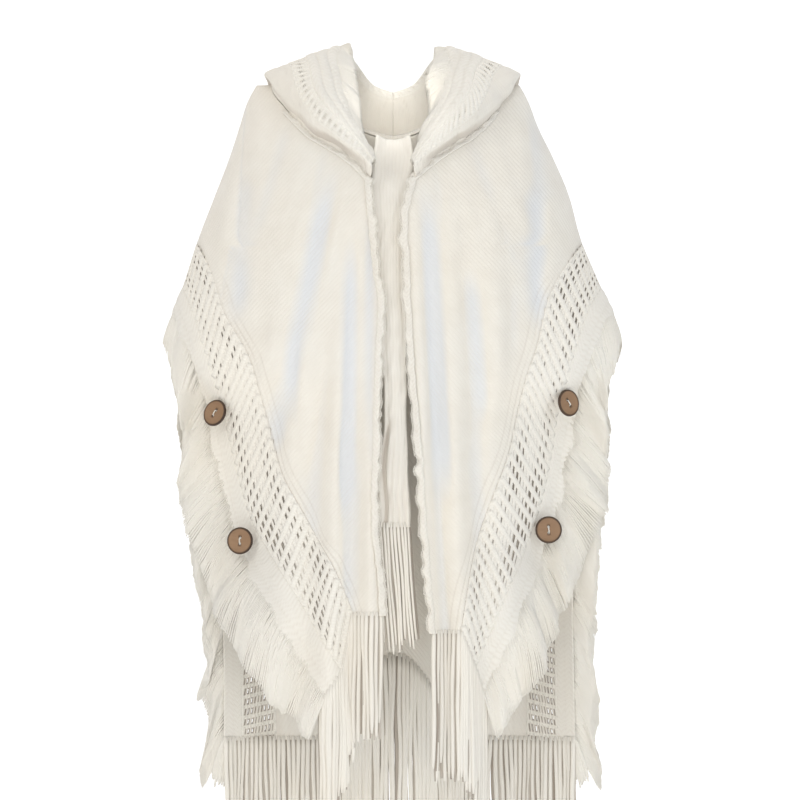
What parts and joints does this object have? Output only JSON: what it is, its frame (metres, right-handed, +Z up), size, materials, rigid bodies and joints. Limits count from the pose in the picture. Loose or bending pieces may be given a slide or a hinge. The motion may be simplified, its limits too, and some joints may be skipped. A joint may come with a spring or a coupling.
{
  "type": "hooded knitted poncho",
  "caption": "Open-front knitted poncho worn with no wearer, hood pushed back, with lattice and braid borders, feather and string fringe, and wooden buttons.",
  "frame": {"origin": "middle of the neck opening at the height of the back neck seam, where the wearer's shoulders carry the garment", "axes": "+Z up, towards the hood; -Y out of the front, +Y out of the back; -X is the side named left, +X the side named right"},
  "size_m": [0.6448, 0.3439, 1.1582],
  "materials": {
    "rib_knit": "matt fine diagonal rib knit in ivory yarn",
    "openwork": "matt open lattice of ivory yarn",
    "braid": "matt dense chevron braid of ivory yarn",
    "feather_yarn": "soft brushed ivory yarn, slightly fuzzy",
    "string_yarn": "twisted ivory yarn with a faint sheen",
    "button_wood": "satin brown wood with darker rim"
  },
  "bodies": {
    "root": {"back_panel": "rib_knit", "front_panel_left": "rib_knit", "front_panel_right": "rib_knit", "hood_left": "rib_knit", "hood_right": "rib_knit", "centre_band": "rib_knit", "front_openwork_left": "openwork", "front_braid_left": "braid", "front_fringe_left": "feather_yarn", "front_openwork_right": "openwork", "front_braid_right": "braid", "front_fringe_right": "feather_yarn", "back_openwork_left": "openwork", "back_braid_left": "braid", "back_fringe_left": "feather_yarn", "back_openwork_right": "openwork", "back_braid_right": "braid", "back_fringe_right": "feather_yarn", "hood_openwork_left": "openwork", "hood_braid_left": "braid", "front_edging_left": "braid", "hood_fringe_left": "feather_yarn", "hem_strings_front_left": "string_yarn", "button_left_upper": "button_wood", "button_left_lower": "button_wood", "hood_openwork_right": "openwork", "hood_braid_right": "braid", "front_edging_right": "braid", "hood_fringe_right": "feather_yarn", "hem_strings_front_right": "string_yarn", "button_right_upper": "button_wood", "button_right_lower": "button_wood", "hem_strings_back": "string_yarn", "centre_band_strings": "string_yarn"}
  },
  "joints": []
}
